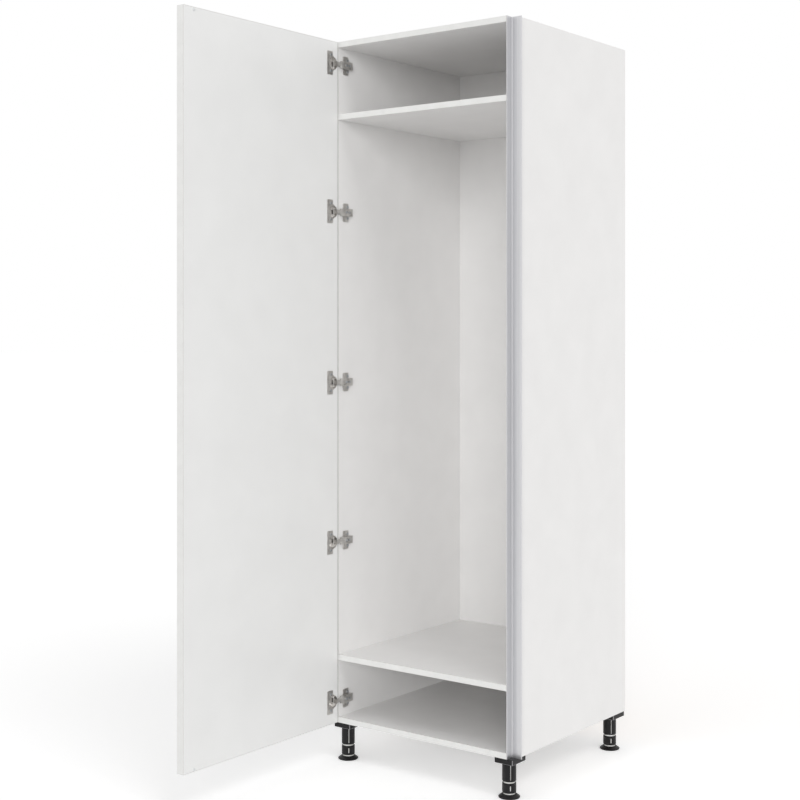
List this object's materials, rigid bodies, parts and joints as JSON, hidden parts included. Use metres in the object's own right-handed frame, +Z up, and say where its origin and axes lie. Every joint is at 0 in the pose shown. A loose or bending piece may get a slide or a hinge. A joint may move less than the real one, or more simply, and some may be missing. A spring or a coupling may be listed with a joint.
{
  "type": "fridge housing unit",
  "caption": "Tall white carcase for a built-in fridge with a full-height hinged door, fixed shelves, a recessed vertical grip profile and adjustable legs.",
  "frame": {"origin": "on the floor, midway between the two sides, in the plane of the carcase's front edges", "axes": "+X to the right seen from the front, +Y to the rear, +Z up"},
  "size_m": [0.617, 1.202, 2.025],
  "materials": {
    "white_board": "melamine-faced board, satin white with a fine texture",
    "back_board": "thin fibreboard, white inside and brown outside",
    "edge_band": "matt white edge band",
    "door_front": "satin white front",
    "grip_profile": "light grey, matt anodised",
    "nickel_steel": "nickel-plated, satin",
    "zinc_steel": "bright zinc-plated",
    "leg_plastic": "black moulded plastic, satin",
    "stem_plastic": "natural white plastic thread",
    "beech": "fluted beech, unfinished",
    "buffer_plastic": "soft clear-white plastic"
  },
  "bodies": {
    "carcase": {"side_left": "white_board", "side_right": "white_board", "top_panel": "white_board", "bottom_panel": "white_board", "shelf_upper": "white_board", "shelf_lower": "white_board", "back_panel": "back_board", "grip_profile": "grip_profile", "carcase_edging": "edge_band", "plate_screws": "zinc_steel", "arm_screws": "zinc_steel", "cam_locks": "zinc_steel", "cam_bolts": "zinc_steel", "dowels": "beech", "back_nails": "zinc_steel", "wall_bracket": "zinc_steel", "bracket_screws": "zinc_steel", "hinge_arm_1": "nickel_steel", "mounting_plate_1": "nickel_steel", "hinge_arm_2": "nickel_steel", "mounting_plate_2": "nickel_steel", "hinge_arm_3": "nickel_steel", "mounting_plate_3": "nickel_steel", "hinge_arm_4": "nickel_steel", "mounting_plate_4": "nickel_steel", "hinge_arm_5": "nickel_steel", "mounting_plate_5": "nickel_steel", "leg_plate_front_left": "leg_plastic", "leg_tube_front_left": "leg_plastic", "leg_plate_front_right": "leg_plastic", "leg_tube_front_right": "leg_plastic", "leg_plate_rear_left": "leg_plastic", "leg_tube_rear_left": "leg_plastic", "leg_plate_rear_right": "leg_plastic", "leg_tube_rear_right": "leg_plastic"},
    "door": {"door_panel": "door_front", "door_edging": "edge_band", "door_buffers": "buffer_plastic", "hinge_pins": "nickel_steel", "cup_screws": "zinc_steel", "hinge_cup_1": "nickel_steel", "hinge_cup_2": "nickel_steel", "hinge_cup_3": "nickel_steel", "hinge_cup_4": "nickel_steel", "hinge_cup_5": "nickel_steel"},
    "foot_front_left": {"leg_foot_front_left": "leg_plastic"},
    "adjuster_front_left": {"leg_stem_front_left": "stem_plastic", "leg_barrel_front_left": "leg_plastic"},
    "foot_front_right": {"leg_foot_front_right": "leg_plastic"},
    "adjuster_front_right": {"leg_stem_front_right": "stem_plastic", "leg_barrel_front_right": "leg_plastic"},
    "foot_rear_left": {"leg_foot_rear_left": "leg_plastic"},
    "adjuster_rear_left": {"leg_stem_rear_left": "stem_plastic", "leg_barrel_rear_left": "leg_plastic"},
    "foot_rear_right": {"leg_foot_rear_right": "leg_plastic"},
    "adjuster_rear_right": {"leg_stem_rear_right": "stem_plastic", "leg_barrel_rear_right": "leg_plastic"}
  },
  "joints": [
    {"name": "door_swing", "type": "hinge", "parent": "carcase", "child": "door", "pos_m": [-0.292, -0.0115, 1.065], "axis": [0, 0, 1], "range_deg": [-5, 90]},
    {"name": "foot_front_left_height", "type": "slide", "parent": "carcase", "child": "foot_front_left", "axis": [0, 0, -1], "range_m": [-0.003, 0.02]},
    {"name": "adjuster_front_left_turn", "type": "hinge", "parent": "foot_front_left", "child": "adjuster_front_left", "pos_m": [-0.271, 0.028, 0.026], "axis": [0, 0, 1], "range_deg": [-440, 2900]},
    {"name": "foot_front_right_height", "type": "slide", "parent": "carcase", "child": "foot_front_right", "axis": [0, 0, -1], "range_m": [-0.003, 0.02]},
    {"name": "adjuster_front_right_turn", "type": "hinge", "parent": "foot_front_right", "child": "adjuster_front_right", "pos_m": [0.271, 0.028, 0.026], "axis": [0, 0, 1], "range_deg": [-440, 2900]},
    {"name": "foot_rear_left_height", "type": "slide", "parent": "carcase", "child": "foot_rear_left", "axis": [0, 0, -1], "range_m": [-0.003, 0.02]},
    {"name": "adjuster_rear_left_turn", "type": "hinge", "parent": "foot_rear_left", "child": "adjuster_rear_left", "pos_m": [-0.271, 0.56, 0.026], "axis": [0, 0, 1], "range_deg": [-440, 2900]},
    {"name": "foot_rear_right_height", "type": "slide", "parent": "carcase", "child": "foot_rear_right", "axis": [0, 0, -1], "range_m": [-0.003, 0.02]},
    {"name": "adjuster_rear_right_turn", "type": "hinge", "parent": "foot_rear_right", "child": "adjuster_rear_right", "pos_m": [0.271, 0.56, 0.026], "axis": [0, 0, 1], "range_deg": [-440, 2900]}
  ],
  "couplings": [
    {"joint": "adjuster_front_left_turn", "follows": "foot_front_left_height", "rad_per_m": 2513.3},
    {"joint": "adjuster_front_right_turn", "follows": "foot_front_right_height", "rad_per_m": 2513.3},
    {"joint": "adjuster_rear_left_turn", "follows": "foot_rear_left_height", "rad_per_m": 2513.3},
    {"joint": "adjuster_rear_right_turn", "follows": "foot_rear_right_height", "rad_per_m": 2513.3}
  ]
}
